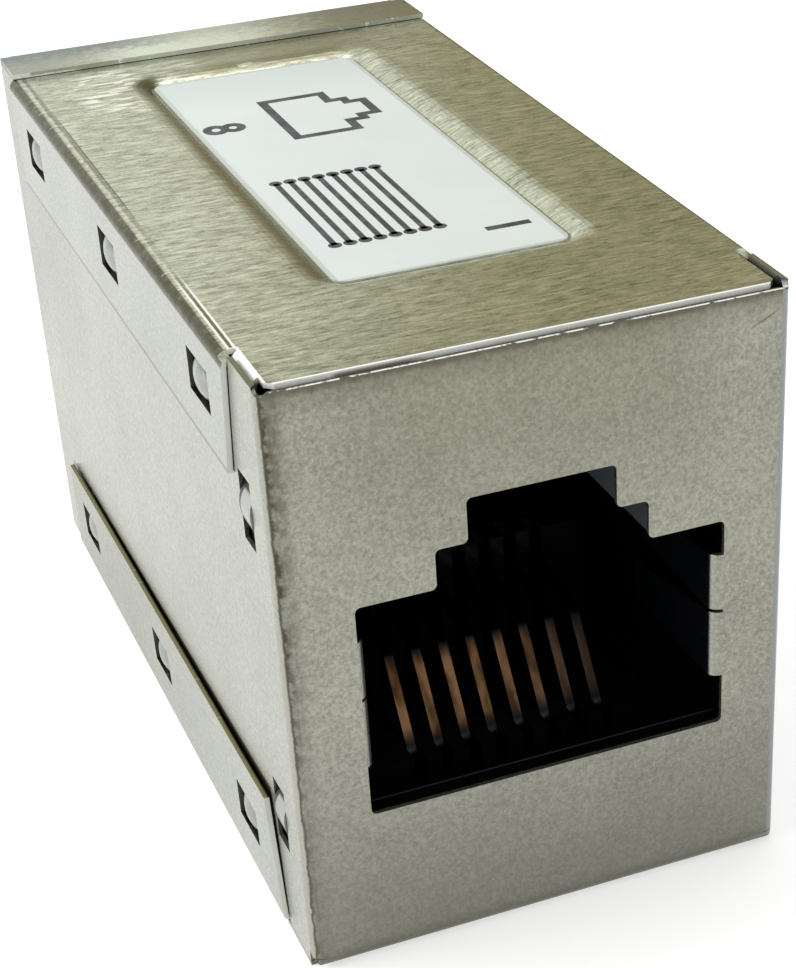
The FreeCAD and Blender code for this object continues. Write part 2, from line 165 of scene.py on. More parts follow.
# ---- shared effects ----
def new_group(name, inputs, outputs):
    """A group of shader nodes that takes and gives numbers, with its start and its end."""
    tree = bpy.data.node_groups.new(name, "ShaderNodeTree")
    for title, value in inputs:
        socket = tree.interface.new_socket(name=title, in_out="INPUT", socket_type="NodeSocketFloat")
        socket.default_value = value
    for title in outputs:
        tree.interface.new_socket(name=title, in_out="OUTPUT", socket_type="NodeSocketFloat")
    return tree, put(tree, "NodeGroupInput"), put(tree, "NodeGroupOutput")


def place_group(tree, group, **values):
    node = put(tree, "ShaderNodeGroup", node_tree=group)
    for title, value in values.items():
        node.inputs[title].default_value = value
    return node


def rolled_grain():
    """Fine wavy rolling streaks along X and soft speckle, each in its own measure, over soft clouds."""
    tree, start, end = new_group("rolled_grain", [("Streaks", 0.5), ("Speckle", 0.5)], ["Shade"])
    middle, cloud_depth = 0.5, 0.35
    streaks = noise(tree, (1500, 7000, 2500), detail=3.0, rough=0.6, distortion=0.6)
    speckle = noise(tree, 7600, detail=3.0, rough=0.7)
    clouds = noise(tree, 260)
    parts = [maths(tree, "MULTIPLY", maths(tree, "SUBTRACT", pattern, middle), measure)
             for pattern, measure in ((streaks, start.outputs["Streaks"]),
                                      (speckle, start.outputs["Speckle"]), (clouds, cloud_depth))]
    shade = maths(tree, "ADD", maths(tree, "ADD", parts[0], parts[1]), parts[2])
    join(tree, maths(tree, "ADD", shade, middle), end.inputs["Shade"])
    return tree


def scratches():
    """Thin scratches in two directions, gathered in patches."""
    tree, start, end = new_group("scratches", [("Amount", 0.5)], ["Mask"])
    parts = []
    for turn, fineness in ((0.12, (500, 4200, 1200)), (-0.35, (420, 3600, 900))):
        lines = noise(tree, fineness, detail=1.0, distortion=0.5, turn=turn)
        patch = noise(tree, 250, detail=1.0, shift=(turn, 2, 1))
        thin = span(tree, lines, 0.66, 0.74)
        parts.append(times(tree, thin, span(tree, patch, 0.40, 0.62)))
    join(tree, times(tree, either(tree, *parts), start.outputs["Amount"]), end.inputs["Mask"])
    return tree


def directions():
    """How much a point of folded sheet faces up or down, to an end or a side, and lies on a fold."""
    titles = ("Level", "End", "Side", "Fold", "Level Fold", "Turned To End")
    tree, _, end = new_group("directions", [], titles)
    nx, ny, nz = [size_of(tree, part) for part in axis_parts(tree, "Normal")]
    level = span(tree, nz, 0.70, 0.92)
    to_end, to_side = [span(tree, part, 0.60, 0.97) for part in (ny, nx)]
    not_level, not_to_end = [span(tree, part, 0.5, 0.1) for part in (nz, ny)]
    upright_fold = times(tree, not_level, band(tree, ny, 0.12, 0.985, 0.01))
    level_fold = times(tree, not_to_end, band(tree, nz, 0.12, 0.97, 0.03))
    for title, mask in zip(titles, (level, to_end, to_side, upright_fold, level_fold, ny)):
        join(tree, mask, end.inputs[title])
    return tree


# ---- plated sheet: places in millimetres from the middle of the foot ----
SHEET = 0.18                      # thickness of the plated sheet
FLANGE = COVER_HIGH.x / MM        # outside of the cover flanges
WALL = FLANGE - SHEET - 0.02      # outside of the frame's long walls
COVER_FOLD = FLANGE - 0.40        # where the covers' level faces end and their folds begin
END = FRAME_HIGH.y / MM           # outside of the end faces
TOP = COVER_HIGH.z / MM           # top of the top cover
END_TOP = TOP - 0.14              # free edge of the end faces
WALL_TOP = TOP - 0.40             # free edge of the frame's long walls, below the cover's folds
TONGUE_SIDE = 8.45                # sides of the cover's front tongue
TONGUE_FRONT = COVER_LOW.y / MM   # front edge of the tongue
TONGUE_START = -14.625            # where the cover narrows to the tongue
FLANGE_FRONT = -15.225            # front ends of the flanges at their fold
FLANGE_REAR = 15.125              # rear ends of the flanges
FLANGE_SLANT = 0.65               # how far a flange's end slants back over its depth
TOP_FLANGE_DEPTH = 4.17           # depth of the upper flanges from the top of the cover
TOP_FLANGE_EDGE = TOP - TOP_FLANGE_DEPTH
LOW_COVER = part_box("bottom_cover")[0].z / MM    # underside of the bottom cover
LOW_FLANGE_DEPTH = 5.04           # depth of the lower flanges from there, at the front
LOW_FLANGE_EDGE = LOW_COVER + LOW_FLANGE_DEPTH
LOW_FLANGE_FALL = 0.64            # how far the lower flanges' free edge falls to the rear
WINDOW_HEIGHTS = ((2.0, 3.65), (19.0, 20.66))   # of the windows in the lower and the upper flanges
SLOT_LEVELS = (16.855, 5.195)     # heights of the slots' middles near the front edge
SLOT_Y = -15.675                  # the slots' middles along the part
SLOT_REACH = 1.3                  # from a slot's middle to just past its end

# ---- plated sheet: tone and strength of each mark; most are painted shade, painted shadow and painted highlights ----
MARKS = {
    # ends of the frame: painted shade, and one fine scratch
    "painted foot shade": ((0.17, 0.165, 0.135), 0.57),
    "painted brow shade": ((0.17, 0.155, 0.10), 0.33),
    "painted foot fold shade": ((0.10, 0.095, 0.07), 0.6),
    "soft edge shade": ((0.13, 0.12, 0.08), 0.45),
    "near edge shade": ((0.07, 0.06, 0.035), 0.6),
    "fine scratch": ((0.08, 0.075, 0.05), 0.6),
    # upright folds of the frame: painted shading of the bends
    "painted warm fold rim": ((0.42, 0.375, 0.32), 0.6),
    "painted grey fold shade": ((0.17, 0.17, 0.15), 0.85),
    "fold line": ((0.06, 0.05, 0.03), 0.85),
    "painted shade beside the fold": ((0.15, 0.15, 0.13), 0.5),
    "painted olive fold shade": ((0.10, 0.09, 0.05), 0.6),
    "painted brown fold shade": ((0.05, 0.045, 0.022), 0.8),
    "painted right fold shade": ((0.25, 0.28, 0.29), 0.9),
    # upper edges of the frame: painted shade, painted light and a painted glint
    "painted shade on left wall top": ((0.15, 0.145, 0.075), 0.9),
    "painted light on right wall top": ((0.32, 0.35, 0.38), 0.9),
    "painted shade on end edge": ((0.07, 0.065, 0.045), 1.0),
    "painted glint on end edge": ((0.97, 0.97, 0.92), 1.0),
    # rear lip: painted shade, a painted highlight, a bare cut face and painted glints
    "painted shade on lip left": ((0.27, 0.28, 0.24), 0.75),
    "painted highlight on lip middle": ((0.86, 0.92, 0.82), 0.75),
    "painted shade on lip right": ((0.21, 0.20, 0.13), 0.75),
    "painted shade on lip back": ((0.13, 0.165, 0.175), 0.9),
    "lip cut": ((0.60, 0.62, 0.53), 0.6),
    "painted glint on lip burr": ((1.0, 1.0, 0.98), 1.0),
    # painted shadow and shade on the walls and in the hollows of the frame
    # painted shadow in the gaps beside the flanges
    "gap": ((0.015, 0.014, 0.011), 1.0),
    "painted shadow under the flange": ((0.16, 0.17, 0.16), 0.7),
    # painted shade on the inner side of the frame
    "inside": ((0.020, 0.028, 0.042), 1.0),
    "painted shade on covered wall": ((0.020, 0.019, 0.014), 1.0),
    "painted dim snap bump": ((0.30, 0.32, 0.31), 0.95),
    "painted shade on upper rear wall": ((0.265, 0.28, 0.243), 0.7),
    # folds of the covers: painted shade and painted highlights
    "painted cover fold shade": ((0.045, 0.036, 0.010), 0.95),
    "painted fold highlight": ((0.90, 0.91, 0.80), 0.4),
    "painted second fold shade": ((0.11, 0.10, 0.06), 0.75),
    "painted crisp fold shade": ((0.03, 0.028, 0.018), 0.9),
    "painted front fold shade": ((0.12, 0.11, 0.05), 0.9),
    "painted front fold highlight": ((1.0, 1.0, 0.95), 0.9),
    # flanges and edges of the covers: painted shade and painted light, an olive flank and olive-brown lower
    # edges
    "painted shade on low rear flange": ((0.235, 0.242, 0.195), 0.8),
    "painted highlight on tongue edge": ((1.0, 1.0, 0.97), 1.0),
    "tongue flank": ((0.20, 0.19, 0.10), 0.85),
    "painted light on flange end": ((0.86, 0.88, 0.82), 0.7),
    "low free edge": ((0.30, 0.26, 0.11), 0.9),
    "painted shade inside low edge": ((0.03, 0.025, 0.012), 0.9),
    "painted shade on window edge": ((0.055, 0.048, 0.03), 0.95),
    "painted shade line at flange brim": ((0.11, 0.128, 0.12), 0.75),
    "painted shade on hidden face": ((0.05, 0.05, 0.03), 0.95),
    # slots: painted shade, and a dimmer painted tone on the rib's lens
    "painted shade on slot ear": ((0.018, 0.017, 0.016), 1.0),
    "painted dim slot lens": ((0.34, 0.37, 0.35), 1.0),
    # level face of the top cover: scratches, and painted shade at the rear of the label and on the dish
    "scratch bundle": ((1.0, 1.0, 0.9), 1.0),
    "painted shade behind the label": ((0.28, 0.27, 0.165), 0.75),
    "fine scratches": ((0.95, 0.95, 0.88), 0.7),
    "dish shoulder": ((0.15, 0.145, 0.08), 0.8),
    "dish corner": ((0.15, 0.14, 0.10), 0.85),
}


class Sheet:
    """Common start of the plated-sheet finishes: grain, scratches, places and facing."""

    def __init__(self, name, effects, streaks, speckle):
        self.material, self.tree, self.shader = finish(name)
        tree = self.tree
        facing = place_group(tree, effects["directions"]).outputs
        self.level, self.end, self.side = facing["Level"], facing["End"], facing["Side"]
        self.fold, self.level_fold = facing["Fold"], facing["Level Fold"]
        self.to_end = facing["Turned To End"]
        self.x, self.y, self.z = axis_parts(tree, "Object")
        self.from_side, self.from_middle = size_of(tree, self.x), size_of(tree, self.y)
        level_speckle = speckle * 0.5
        plain = place_group(tree, effects["grain"], Streaks=0.0, Speckle=speckle)
        lined = place_group(tree, effects["grain"], Streaks=streaks, Speckle=level_speckle)
        self.shade = blend_colour(tree, self.level, plain.outputs["Shade"], lined.outputs["Shade"])
        self.marks = place_group(tree, effects["scratches"], Amount=0.8).outputs["Mask"]
        self.ragged = maths(tree, "SUBTRACT", noise(tree, 2600, detail=3.0, rough=0.6), 0.5)
        self.bare = None

    def faces(self, side, ends, level):
        """Base colour from a dark and a pale tone for the sides, the ends and the level faces; the
        differences between these tones are painted light and shade.
        """
        tones = [blend_colour(self.tree, self.shade, dark, pale) for dark, pale in (side, ends, level)]
        colour = blend_colour(self.tree, self.end, tones[0], tones[1])
        return blend_colour(self.tree, self.level, colour, tones[2])

    def tint(self, colour, mask, mark):
        """The colour with one mark laid over it inside a mask."""
        tone, strength = MARKS[mark]
        return blend_colour(self.tree, times(self.tree, mask, strength), colour, tone)

    def sheared(self, colour, mask, mark):
        """A mark on a cut edge, which is rough bare metal; most marks laid this way are painted highlights,
        painted light and painted shade.
        """
        part = times(self.tree, mask, MARKS[mark][1])
        self.bare = part if self.bare is None else either(self.tree, self.bare, part)
        return self.tint(colour, mask, mark)

    def both(self, *masks):
        """Where all the masks are."""
        return times(self.tree, *masks)

    def on_walls(self):
        """One on the outside of the frame's long walls and past it."""
        return self.over(self.from_side, WALL - 0.10, WALL - 0.06)

    def over(self, value, low, high):
        """Rises from nought to one between two places in millimetres; falls if the first is the larger."""
        return span(self.tree, value, low * MM, high * MM)

    def between(self, value, low, high, soft=0.02):
        """One between two places in millimetres, with soft ends."""
        return band(self.tree, value, low * MM, high * MM, soft * MM)

    def frayed(self, value, amount):
        """A place shifted at random by up to an amount in millimetres, either way."""
        return maths(self.tree, "MULTIPLY_ADD", self.ragged, 2 * amount * MM, value)

    def round_patch(self, *axes, core):
        """Soft round patch from its place, middle and reach on each axis; one inside the core's share."""
        away = []
        for place, middle, reach in axes:
            step = maths(self.tree, "MULTIPLY_ADD", place, 1 / (reach * MM), -middle / reach)
            away.append(times(self.tree, step, step))
        return span(self.tree, maths(self.tree, "ADD", *away), 1.0, core)

    def close(self, colour, relief):
        """Links the colour, and gives the sheet its sheen, duller on bare edges, and its fine relief."""
        tree, shader = self.tree, self.shader
        plated, lost_when_bare = 0.88, -0.8
        upright_rough, level_rough, added_when_bare, uneven = 0.30, 0.24, 0.25, 0.04
        join(tree, colour, shader.inputs["Base Color"])
        metal = maths(tree, "MULTIPLY_ADD", self.bare, lost_when_bare, plated)
        join(tree, metal, shader.inputs["Metallic"])
        waver = span(tree, self.shade, 0.3, 0.7, uneven, -uneven, smooth=False)
        rough = maths(tree, "MULTIPLY_ADD", self.level, level_rough - upright_rough, upright_rough)
        rough = maths(tree, "MULTIPLY_ADD", self.bare, added_when_bare, rough)
        join(tree, maths(tree, "ADD", rough, waver), shader.inputs["Roughness"])
        bump = put(tree, "ShaderNodeBump")
        bump.inputs["Strength"].default_value = relief
        bump.inputs["Distance"].default_value = 0.02 * MM
        join(tree, self.shade, bump.inputs["Height"])
        join(tree, bump.outputs["Normal"], shader.inputs["Normal"])
        return self.material


# ---- plated sheet: the frame ----
def end_face_shading(sheet, colour):
    """Ends: painted shade darker to the foot and on the fold at the foot, a painted brown shade high up,
    painted shade under the top edge, and one fine scratch.
    """
    # painted shade: the ends grow darker towards the foot
    foot = sheet.both(sheet.end, sheet.over(sheet.z, 10, 0))
    colour = sheet.tint(colour, foot, "painted foot shade")
    # painted brown shade high up on the ends
    brow = sheet.both(sheet.end, sheet.over(sheet.z, 13, 20), sheet.over(sheet.from_side, 8, 4))
    colour = sheet.tint(colour, brow, "painted brow shade")
    # painted shade on the fold at the foot
    foot_fold_shade = sheet.both(sheet.end, sheet.over(sheet.z, 0.9, 0.1))
    colour = sheet.tint(colour, foot_fold_shade, "painted foot fold shade")
    wide = sheet.over(sheet.frayed(sheet.z, 0.35), END_TOP - 1.1, END_TOP)
    near = sheet.over(sheet.frayed(sheet.z, 0.12), END_TOP - 0.3, END_TOP - 0.05)
    colour = sheet.tint(colour, sheet.both(sheet.end, wide), "soft edge shade")
    colour = sheet.tint(colour, sheet.both(sheet.end, near), "near edge shade")
    scratch_rise = 0.47
    slope = maths(sheet.tree, "MULTIPLY_ADD", sheet.x, -scratch_rise, sheet.z)
    scratch = sheet.both(sheet.end, sheet.between(slope, 17.05, 17.12, 0.04),
                         sheet.between(sheet.x, 7.4, 8.3, 0.2))
    return sheet.tint(colour, scratch, "fine scratch")


def frame_folds(sheet, colour):
    """Upright folds with painted shading of the bends: a warm edge, dark lines and a speckled grey band on
    the left, a grey painted shade on the right.
    """
    tree = sheet.tree
    # all tones below are painted shading of the curved folds
    left, right = sheet.over(sheet.x, -7, -8), sheet.over(sheet.x, 7, 8)
    left_fold = sheet.both(sheet.fold, left)
    specks = span(tree, sheet.ragged, 0.10, -0.12, to_low=0.35)
    turned = maths(tree, "MULTIPLY_ADD", sheet.ragged, 0.35, sheet.to_end)
    rim = sheet.both(left_fold, span(tree, turned, 0.78, 0.66), sheet.over(sheet.z, 17, 9))
    colour = sheet.tint(colour, rim, "painted warm fold rim")
    dark_fold_shade = sheet.both(left_fold, span(tree, turned, 0.66, 0.84), specks)
    colour = sheet.tint(colour, dark_fold_shade, "painted grey fold shade")
    line = sheet.both(left_fold, band(tree, turned, 0.68, 0.82, 0.06))
    colour = sheet.tint(colour, line, "fold line")
    beside = sheet.both(sheet.end, left, sheet.over(sheet.frayed(sheet.from_side, 0.16), 8.0, 8.5), specks)
    colour = sheet.tint(colour, beside, "painted shade beside the fold")
    olive = sheet.both(either(tree, beside, dark_fold_shade), sheet.over(sheet.z, 8, 19))
    colour = sheet.tint(colour, olive, "painted olive fold shade")
    brown = sheet.both(left_fold, band(tree, turned, 0.62, 0.90, 0.06), sheet.over(sheet.z, 5, 16), specks)
    colour = sheet.tint(colour, brown, "painted brown fold shade")
    return sheet.tint(colour, sheet.both(sheet.fold, right), "painted right fold shade")


def frame_edges(sheet, colour):
    """Sheared top of the ends in painted shade with a painted glint along its outer line, painted shade on
    the top of the left wall and painted light on the top of the right wall.
    """
    tree = sheet.tree
    top = sheet.both(sheet.level, sheet.between(sheet.z, WALL_TOP - 0.25, TOP + 0.10))
    glint = span(tree, sheet.ragged, -0.10, 0.02)
    at_end = sheet.over(sheet.from_middle, END - SHEET - 0.095, END - SHEET - 0.035)
    outer = sheet.over(sheet.from_middle, END - 0.105, END - 0.085)
    wall = sheet.both(top, inverse(tree, at_end))
    # painted shade on the top of the left wall and painted light on the top of the right wall
    colour = sheet.tint(colour, sheet.both(wall, sheet.over(sheet.x, 0.5, -0.5)), "painted shade on left wall top")
    colour = sheet.tint(colour, sheet.both(wall, sheet.over(sheet.x, -0.5, 0.5)), "painted light on right wall top")
    # painted shade in the gap under the tongue, then a painted glint on the outer line
    colour = sheet.sheared(colour, sheet.both(top, at_end), "painted shade on end edge")
    return sheet.sheared(colour, sheet.both(top, outer, glint), "painted glint on end edge")


def rear_lip(sheet, colour):
    """Lip over the rear of the top cover: painted shade to the left and back, a painted highlight in the
    middle, painted glints on its burr and along its cut edge.
    """
    tree = sheet.tree
    lip = sheet.both(sheet.over(sheet.z, TOP + 0.01, TOP + 0.03), sheet.over(sheet.y, 14, 14.5))
    place = sheet.frayed(sheet.x, 1.2)
    # painted shade at the ends of the lip and a painted highlight in its middle
    for mark, mask in (("painted shade on lip left", sheet.over(place, -4.8, -7.6)),
                       ("painted highlight on lip middle", sheet.between(place, -4.5, 2, 1.6)),
                       ("painted shade on lip right", sheet.over(place, 2.6, 5.5))):
        colour = sheet.tint(colour, sheet.both(lip, mask), mark)
    back = sheet.both(sheet.over(sheet.frayed(sheet.y, 1.4), 15.6, 17.2),
                      span(tree, place, 0.0, -5 * MM, to_low=0.4))
    colour = sheet.tint(colour, sheet.both(lip, back), "painted shade on lip back")
    cut = sheet.both(lip, sheet.end, sheet.over(sheet.y, 15.4, 15.3))
    colour = sheet.sheared(colour, cut, "lip cut")
    low = sheet.both(cut, sheet.over(sheet.frayed(sheet.z, 0.08), TOP + 0.10, TOP + 0.05))
    # painted glints on the burr at the left corner, low along the cut edge and in specks
    corner = sheet.over(sheet.x, -8.1, -8.3)
    burr = either(tree, corner, sheet.both(low, sheet.over(sheet.x, -5.8, -7)))
    specks = span(tree, sheet.ragged, 0.12, 0.16)
    return sheet.sheared(colour, sheet.both(cut, either(tree, burr, specks)), "painted glint on lip burr")


def flange_shadows(sheet, colour):
    """Painted shadow on the walls beside the flanges: dark lines at their ends, a dark wedge above the
    lower ones and a soft line under the upper ones.
    """
    tree = sheet.tree
    length = FLANGE_REAR - FLANGE_FRONT
    walls = sheet.both(sheet.side, sheet.on_walls())
    for depth, fold, down in ((TOP_FLANGE_DEPTH, TOP, -1), (LOW_FLANGE_DEPTH, LOW_COVER, 1)):
        lean = maths(tree, "MULTIPLY_ADD", sheet.z, -down * FLANGE_SLANT / depth, sheet.y)
        start = FLANGE_FRONT - down * fold * FLANGE_SLANT / depth
        span_z = sheet.between(sheet.z, *sorted((fold, fold + down * (depth - 0.05))))
        # painted shadow: a dark line on the wall beside each flange end
        line = sheet.both(walls, span_z, sheet.between(lean, start - 0.10, start + 0.03, 0.015))
        colour = sheet.tint(colour, line, "gap")
    gap_front, gap_widens = 0.40, 0.36
    edge = LOW_FLANGE_EDGE + FLANGE_FRONT * LOW_FLANGE_FALL / length
    above_edge = maths(tree, "MULTIPLY_ADD", sheet.y, LOW_FLANGE_FALL / length, sheet.z)
    gap_top = (edge + gap_front + FLANGE_FRONT * gap_widens / length) * MM
    far = maths(tree, "MULTIPLY_ADD", sheet.y, -gap_widens / length, gap_top)
    # painted shadow: a dark wedge on the wall above the lower flanges
    wedge = sheet.both(walls, sheet.over(maths(tree, "SUBTRACT", far, above_edge), -0.01, 0.01),
                       sheet.over(above_edge, edge - 0.3, edge - 0.2),
                       sheet.between(sheet.y, FLANGE_FRONT + 0.62, FLANGE_REAR - 0.125))
    colour = sheet.tint(colour, wedge, "gap")
    # painted shadow: a soft line on the wall under the upper flanges
    under = sheet.both(walls, sheet.between(sheet.z, TOP_FLANGE_EDGE - 0.08, TOP_FLANGE_EDGE + 0.02, 0.04),
                       sheet.between(sheet.y, FLANGE_FRONT + 0.6, FLANGE_REAR - 0.025))
    return sheet.tint(colour, under, "painted shadow under the flange")


def frame_hollows(sheet, colour):
    """Painted shade inside the frame and on the walls under the flanges where their windows show them, with
    a dimmer painted tone on the bumps there.
    """
    tree = sheet.tree
    wall_inside = WALL - SHEET
    # painted shade on the inner faces of the frame
    inside = sheet.both(sheet.over(sheet.from_side, wall_inside + 0.06, wall_inside + 0.02),
                        sheet.over(sheet.from_middle, END - SHEET - 0.015, END - SHEET - 0.095),
                        sheet.between(sheet.z, 0.5, END_TOP - 0.11, 0.1))
    colour = sheet.tint(colour, inside, "inside")
    # painted shade on the walls that the flange windows show
    covered = either(tree, sheet.over(sheet.z, 18.2, 18.3), sheet.over(sheet.z, 4.0, 3.9))
    wall = sheet.both(sheet.over(sheet.from_middle, 14.6, 14.4), covered, sheet.on_walls())
    colour = sheet.tint(colour, wall, "painted shade on covered wall")
    # a dimmer painted tone on the bumps in the windows
    bump = sheet.both(wall, sheet.over(sheet.from_side, WALL + 0.055, WALL + 0.13))
    return sheet.tint(colour, bump, "painted dim snap bump")


def frame_sheet(effects):
    """Plated sheet of the frame: pale sides and greyer ends, their tones differing as painted light and
    shade, with painted shade on the folds and in the hollows.
    """
    sheet = Sheet("plated_frame_sheet", effects, streaks=1.6, speckle=1.7)
    colour = sheet.faces(side=((0.28, 0.291, 0.253), (0.425, 0.44, 0.385)),
                         ends=((0.17, 0.168, 0.135), (0.425, 0.424, 0.36)),
                         level=((0.26, 0.26, 0.18), (0.70, 0.72, 0.60)))
    # painted shade on the upper rear part of the long walls
    upper_rear_shade = sheet.both(sheet.side, sheet.over(sheet.y, 1, 13), sheet.over(sheet.z, 8, 15))
    colour = sheet.tint(colour, upper_rear_shade, "painted shade on upper rear wall")
    for detail in (end_face_shading, frame_folds, frame_edges, rear_lip, flange_shadows, frame_hollows):
        colour = detail(sheet, colour)
    return sheet.close(colour, relief=0.16)


# ---- plated sheet: the covers ----
def cover_folds(sheet, colour):
    """Level folds with painted shade and painted highlights: a ragged dark band, a light line and a softer
    dark band beside it.
    """
    place = sheet.frayed(sheet.from_side, 0.10)
    # painted shade and highlights of the curved fold and the crease beside it
    fold = sheet.both(sheet.level_fold, sheet.over(sheet.from_side, COVER_FOLD - 0.04, COVER_FOLD),
                      sheet.over(sheet.z, TOP - 0.55, TOP - 0.43))
    specks = span(sheet.tree, sheet.ragged, 0.25, -0.15, to_low=0.8)
    colour = sheet.tint(colour, sheet.both(fold, specks), "painted cover fold shade")
    left = sheet.both(sheet.level, sheet.over(sheet.x, 0.5, -0.5))
    pale = sheet.both(left, sheet.between(place, COVER_FOLD - 0.05, COVER_FOLD - 0.01, 0.03))
    colour = sheet.tint(colour, pale, "painted fold highlight")
    second = sheet.both(left, sheet.between(place, COVER_FOLD - 0.26, COVER_FOLD - 0.10, 0.06),
                        sheet.over(sheet.y, -12, 4), specks)
    colour = sheet.tint(colour, second, "painted second fold shade")
    crisp = sheet.both(left, sheet.between(sheet.from_side, COVER_FOLD - 0.30, COVER_FOLD - 0.25, 0.015),
                       sheet.between(sheet.y, -2, 9, 1.5))
    colour = sheet.tint(colour, crisp, "painted crisp fold shade")
    near = sheet.over(sheet.y, -7, -11)
    dull = sheet.both(left, near, sheet.between(place, COVER_FOLD - 0.20, COVER_FOLD - 0.08))
    colour = sheet.tint(colour, dull, "painted front fold shade")
    for inwards in (0.08, 0.28):
        inner = COVER_FOLD - inwards
        line = sheet.both(left, near, sheet.between(sheet.from_side, inner, inner + 0.08, 0.01))
        colour = sheet.sheared(colour, line, "painted front fold highlight")
    return colour


def tongue_edges(sheet, colour):
    """Painted highlights on the sheared front and left edges of the tongue, its left flank olive below
    them.
    """
    tree = sheet.tree
    front = sheet.over(sheet.y, TONGUE_FRONT + 0.105, TONGUE_FRONT + 0.085)
    tongue = sheet.both(sheet.over(sheet.y, TONGUE_START + 0.025, TONGUE_START - 0.025),
                        sheet.over(sheet.z, TOP - SHEET - 0.07, TOP - SHEET - 0.02),
                        sheet.over(sheet.from_side, TONGUE_SIDE + 0.27, TONGUE_SIDE + 0.23),
                        either(tree, front, sheet.over(sheet.x, 8.0, 7.9)))
    rim = either(tree, sheet.over(sheet.from_side, TONGUE_SIDE - 0.09, TONGUE_SIDE - 0.07), front)
    cut = either(tree, inverse(tree, sheet.level), rim)
    glint = span(tree, sheet.ragged, -0.20, -0.05, to_low=0.8)
    # painted highlight along the tongue's cut edges, broken up by the glint mask
    colour = sheet.sheared(colour, sheet.both(tongue, cut, glint), "painted highlight on tongue edge")
    flank = sheet.both(tongue, sheet.side, sheet.over(sheet.z, TOP - 0.05, TOP - 0.08))
    return sheet.tint(colour, flank, "tongue flank")


def flange_edges(sheet, colour):
    """Painted light on the ends of the flanges, olive-brown lower edges with painted shade on their inner
    part, painted shade on the faces in the windows and on the inner faces of the upper flanges, and a
    painted shade line at the brim.
    """
    tree = sheet.tree
    outer = sheet.over(sheet.from_side, FLANGE - 0.20, FLANGE - 0.18)
    plain = sheet.both(inverse(tree, sheet.side), outer)
    # painted light on the ends of the flanges
    colour = sheet.sheared(colour, sheet.both(sheet.end, plain), "painted light on flange end")
    lowest_edge = LOW_FLANGE_EDGE - LOW_FLANGE_FALL
    low = sheet.both(plain, sheet.level, sheet.between(sheet.z, lowest_edge - 0.40, 9))
    colour = sheet.tint(colour, low, "low free edge")
    # painted shade on the inner part of the lower edges
    low_inside_shade = sheet.both(low, sheet.between(sheet.from_side, FLANGE - 0.12, FLANGE - 0.07))
    colour = sheet.tint(colour, low_inside_shade, "painted shade inside low edge")
    windows = either(tree, *[sheet.between(sheet.z, *heights) for heights in WINDOW_HEIGHTS])
    # painted shade on the edge faces in the windows
    inner = sheet.both(plain, windows, sheet.over(sheet.from_middle, 14, 13.9))
    colour = sheet.tint(colour, inner, "painted shade on window edge")
    # painted shade line at the brim of the upper flanges
    brim = sheet.both(sheet.side, outer, sheet.between(sheet.z, TOP_FLANGE_EDGE - 0.08,
                                                       TOP_FLANGE_EDGE + 0.14, 0.03))
    colour = sheet.tint(colour, brim, "painted shade line at flange brim")
    # painted shade on the inner faces of the upper flanges
    hidden = sheet.both(sheet.side, sheet.between(sheet.from_side, FLANGE - 0.30, FLANGE - 0.14),
                        sheet.over(sheet.z, 19, 20))
    return sheet.tint(colour, hidden, "painted shade on hidden face")


def slot_ears(sheet, colour):
    """Ears behind the frame's slots in painted shade, with a dimmer painted tone on the lens where the rib
    comes through.
    """
    for level in SLOT_LEVELS:
        slot = sheet.both(sheet.between(sheet.y, SLOT_Y - 0.675, SLOT_Y + 0.675),
                          sheet.between(sheet.z, level - SLOT_REACH, level + SLOT_REACH),
                          sheet.over(sheet.from_side, FLANGE + 0.10, FLANGE + 0.05))
        # painted shade on the ears behind the slots
        colour = sheet.tint(colour, slot, "painted shade on slot ear")
        # a dimmer painted tone on the rib's lens
        bulge = sheet.round_patch((sheet.y, SLOT_Y - 0.105, 0.52), (sheet.z, level + 0.05, 0.98), core=0.9)
        lens = sheet.both(slot, bulge, sheet.over(sheet.from_side, WALL - 0.12, WALL - 0.06))
        colour = sheet.tint(colour, lens, "painted dim slot lens")
    return colour


def cover_wear_and_shade(sheet, colour):
    """A bundle of bright scratches beside the label's rear left corner, painted shade at the rear of the
    label, and finer scratches all over.
    """
    tree = sheet.tree
    patch = sheet.round_patch((sheet.x, -5.5, 2.0), (sheet.y, 11.4, 3.7), core=0.3)
    lines_by_turn = []
    for turn, fineness in ((0.1, (600, 3000, 900)), (-0.35, (700, 3400, 900)), (0.55, (500, 2700, 900))):
        lines = noise(tree, fineness, detail=1.0, distortion=0.4, turn=turn)
        lines_by_turn.append(span(tree, lines, 0.60, 0.66))
    bundle = sheet.both(patch, sheet.level, either(tree, *lines_by_turn))
    colour = sheet.tint(colour, bundle, "scratch bundle")
    # painted shade on the level face at the rear of the label
    rear = sheet.both(sheet.level, sheet.over(sheet.y, 12.0, 12.5), sheet.between(sheet.x, -2.0, 5.5, 1.2))
    colour = sheet.tint(colour, rear, "painted shade behind the label")
    return sheet.tint(colour, sheet.both(sheet.marks, sheet.level), "fine scratches")


def dish_shading(sheet, colour):
    """Dull soft shadow where the dish turns down to the label on its left, darkest at the rear corner."""
    sunk = sheet.over(sheet.z, TOP - 0.005, TOP - 0.13)
    left = sheet.both(sunk, sheet.over(sheet.x, -3.2, -4.2), sheet.over(sheet.from_side, 6.5, 6.2))
    colour = sheet.tint(colour, left, "dish shoulder")
    corner = sheet.both(sheet.round_patch((sheet.x, -4.6, 1.3), (sheet.y, 11.9, 1.8), core=0.2),
                        sheet.over(sheet.z, TOP + 0.01, TOP - 0.05))
    return sheet.tint(colour, corner, "dish corner")


